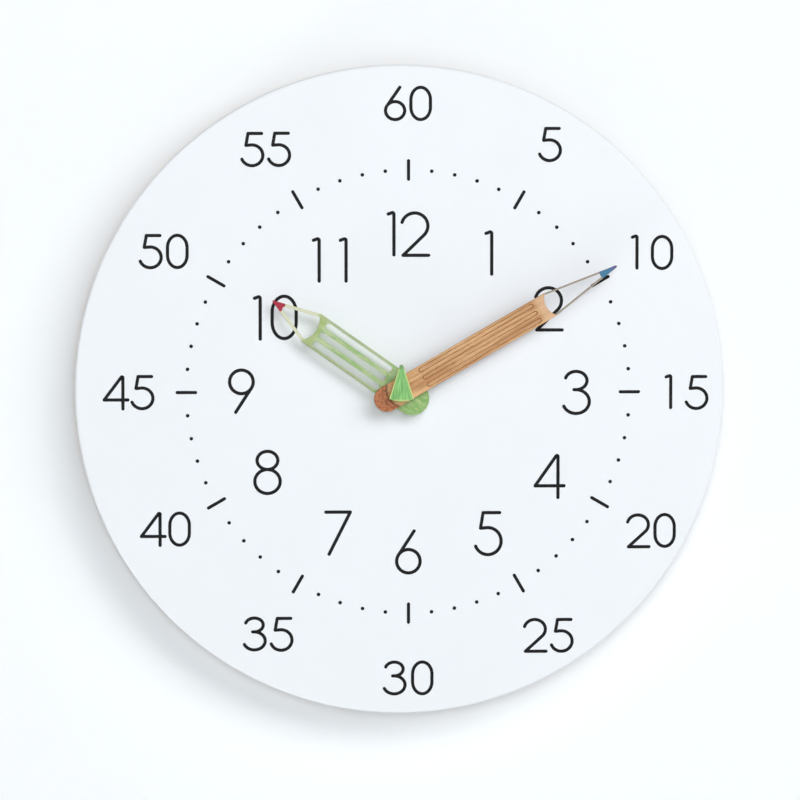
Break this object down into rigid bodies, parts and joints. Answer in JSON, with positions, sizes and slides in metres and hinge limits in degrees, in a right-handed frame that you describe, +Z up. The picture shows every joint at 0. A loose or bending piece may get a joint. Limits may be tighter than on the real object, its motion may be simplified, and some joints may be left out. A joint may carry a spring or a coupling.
{
  "type": "teaching wall clock",
  "caption": "Round frameless teaching wall clock with pencil-shaped hour and minute hands, a small second pointer and a battery quartz movement let into its back.",
  "frame": {"origin": "where the axis of the hands meets the wall that the clock hangs on", "axes": "+Z up, the dial faces -Y, +Y goes into the wall, +X to the right seen from the front"},
  "size_m": [0.3, 0.034, 0.3],
  "materials": {
    "board": "matt white lacquer",
    "bumper": "soft clear grey",
    "steel": "zinc plated",
    "gasket": "black rubber",
    "brass": "turned",
    "case": "fine grain black",
    "plate": "natural",
    "battery": "plain wrap",
    "contact": "nickel plated spring strip",
    "circuit": "green laminate",
    "chip": "black resin",
    "magnet": "dark sintered",
    "copper": "enamelled copper wire",
    "gear": "natural acetal",
    "gear_red": "coloured acetal",
    "knob": "fine grain",
    "hour_wood": "green stain",
    "minute_wood": "clear matt lacquer",
    "pointer_wood": "green stain"
  },
  "bodies": {
    "clock_body": {"dial_board": "board", "wall_bumpers": "bumper", "hanger_plate": "steel", "hanger_screws": "steel", "rubber_gasket": "gasket", "dial_washer": "brass", "hex_nut": "brass", "threaded_bushing": "brass", "front_case": "case", "middle_plate": "plate", "rear_cover": "case", "battery_cell": "battery", "negative_contact": "contact", "positive_contact": "contact", "circuit_board": "circuit", "clock_chip": "chip", "quartz_crystal": "steel", "stator_plate": "steel", "coil_core": "steel", "coil_bobbin": "plate", "coil_winding": "copper"},
    "hour_hand_set": {"hour_hand": "hour_wood", "hour_wheel": "gear"},
    "minute_hand_set": {"minute_hand": "minute_wood", "cannon_pinion": "gear"},
    "second_pointer_set": {"second_pointer": "pointer_wood", "seconds_wheel": "gear"},
    "minute_wheel_set": {"minute_wheel": "gear"},
    "setting_set": {"setting_stem": "gear", "setting_knob": "knob"},
    "centre_wheel_set": {"centre_wheel": "gear_red"},
    "third_wheel_set": {"third_wheel": "gear"},
    "intermediate_wheel_set": {"intermediate_wheel": "gear"},
    "rotor_set": {"rotor_magnet": "magnet", "rotor_pinion": "gear"}
  },
  "joints": [
    {"name": "minute_hand_turn", "type": "hinge", "parent": "clock_body", "child": "minute_hand_set", "pos_m": [0, 0, 0], "axis": [0, 1, 0], "continuous": true},
    {"name": "hour_hand_turn", "type": "hinge", "parent": "clock_body", "child": "hour_hand_set", "pos_m": [0, 0, 0], "axis": [0, 1, 0], "continuous": true},
    {"name": "minute_wheel_turn", "type": "hinge", "parent": "clock_body", "child": "minute_wheel_set", "pos_m": [0.00789, 0, 0.00287], "axis": [0, 1, 0], "continuous": true},
    {"name": "setting_knob_turn", "type": "hinge", "parent": "clock_body", "child": "setting_set", "pos_m": [0.01617, 0, 0.00141], "axis": [0, 1, 0], "continuous": true},
    {"name": "second_pointer_turn", "type": "hinge", "parent": "clock_body", "child": "second_pointer_set", "pos_m": [0, 0, 0], "axis": [0, 1, 0], "continuous": true},
    {"name": "intermediate_wheel_turn", "type": "hinge", "parent": "clock_body", "child": "intermediate_wheel_set", "pos_m": [0.00336, 0, 0.00582], "axis": [0, 1, 0], "continuous": true},
    {"name": "rotor_turn", "type": "hinge", "parent": "clock_body", "child": "rotor_set", "pos_m": [0.00606, 0, 0.0105], "axis": [0, 1, 0], "continuous": true},
    {"name": "third_wheel_turn", "type": "hinge", "parent": "clock_body", "child": "third_wheel_set", "pos_m": [-0.00707, 0, 0.00408], "axis": [0, 1, 0], "continuous": true},
    {"name": "centre_wheel_turn", "type": "hinge", "parent": "clock_body", "child": "centre_wheel_set", "pos_m": [0, 0, 0], "axis": [0, 1, 0], "continuous": true}
  ],
  "couplings": [
    {"joint": "hour_hand_turn", "follows": "minute_hand_turn", "ratio": 0.083333},
    {"joint": "minute_wheel_turn", "follows": "minute_hand_turn", "ratio": -0.33333},
    {"joint": "setting_knob_turn", "follows": "minute_hand_turn", "ratio": 1},
    {"joint": "intermediate_wheel_turn", "follows": "second_pointer_turn", "ratio": -6},
    {"joint": "rotor_turn", "follows": "second_pointer_turn", "ratio": 30},
    {"joint": "third_wheel_turn", "follows": "second_pointer_turn", "ratio": -0.13333},
    {"joint": "centre_wheel_turn", "follows": "second_pointer_turn", "ratio": 0.016667}
  ]
}
